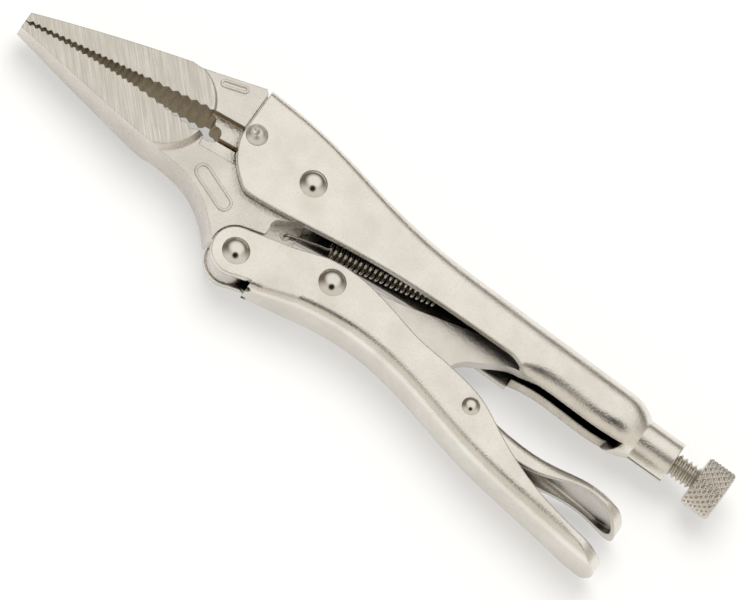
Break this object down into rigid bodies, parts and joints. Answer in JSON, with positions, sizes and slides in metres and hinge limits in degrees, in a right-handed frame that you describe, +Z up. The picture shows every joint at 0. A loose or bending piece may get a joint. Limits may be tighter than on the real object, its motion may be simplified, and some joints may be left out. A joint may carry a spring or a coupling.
{
  "type": "locking pliers",
  "caption": "Long-nose locking pliers: toothed jaws with a wire cutter, toggle-locking lower handle, release lever, return spring and knurled adjusting screw.",
  "frame": {"origin": "middle of the base of the shut pliers' bounding box, lying on one side", "axes": "+X from the nose to the adjusting knob along the screw, +Y from the lower to the upper handle, +Z up along the rivets"},
  "size_m": [0.16, 0.041, 0.0145],
  "materials": {
    "plated_sheet": "satin nickel plate on pressed sheet steel",
    "forged_jaw": "nickel plate on forged steel, nose faces ground with a fine cross grain",
    "forged_link": "nickel plate on a flat forging",
    "plated_pin": "staked pin, satin nickel plate",
    "polished_rivet": "smooth bright domed head",
    "spring_wire": "bright spring wire",
    "screw_steel": "rolled thread, nickel plate",
    "knurled_knob": "diamond knurl, nickel plate"
  },
  "bodies": {
    "fixed_handle": {"upper_handle": "plated_sheet", "upper_jaw": "forged_jaw", "jaw_pin": "plated_pin", "main_rivet": "polished_rivet", "return_spring": "spring_wire"},
    "moving_jaw": {"lower_jaw": "forged_jaw"},
    "moving_handle": {"lower_handle": "plated_sheet", "handle_rivet": "polished_rivet", "link_rivet": "polished_rivet", "lever_rivet": "polished_rivet"},
    "link": {"toggle_link": "forged_link"},
    "lever": {"release_lever": "plated_sheet"},
    "screw_slide": {"screw_tip": "screw_steel"},
    "screw_turn": {"adjusting_screw": "screw_steel", "adjusting_knob": "knurled_knob"}
  },
  "joints": [
    {"name": "jaw_open", "type": "hinge", "parent": "fixed_handle", "child": "moving_jaw", "pos_m": [-0.0176, 0.00921, 0.00725], "axis": [0, 0, 1], "range_deg": [0, 30], "deforming": ["return_spring"]},
    {"name": "handle_swing", "type": "hinge", "parent": "moving_jaw", "child": "moving_handle", "pos_m": [-0.0221, -0.01029, 0.00725], "axis": [0, 0, 1], "range_deg": [-94, 0]},
    {"name": "link_swing", "type": "hinge", "parent": "moving_handle", "child": "link", "pos_m": [-0.0038, -0.00479, 0.00725], "axis": [0, 0, 1], "range_deg": [0, 92]},
    {"name": "lever_press", "type": "hinge", "parent": "moving_handle", "child": "lever", "pos_m": [0.0311, -0.00889, 0.00725], "axis": [0, 0, 1], "range_deg": [-7, 0]},
    {"name": "screw_travel", "type": "slide", "parent": "fixed_handle", "child": "screw_slide", "axis": [1, 0, 0], "range_m": [0, 0.01058]},
    {"name": "screw_turn", "type": "hinge", "parent": "screw_slide", "child": "screw_turn", "pos_m": [0.0642, 0.00776, 0.00725], "axis": [1, 0, 0], "range_deg": [0, 3620]}
  ],
  "couplings": [
    {"joint": "handle_swing", "follows": "jaw_open", "ratio": -3.1},
    {"joint": "link_swing", "follows": "jaw_open", "ratio": 3.037},
    {"joint": "screw_turn", "follows": "screw_travel", "rad_per_m": 5938.7}
  ]
}
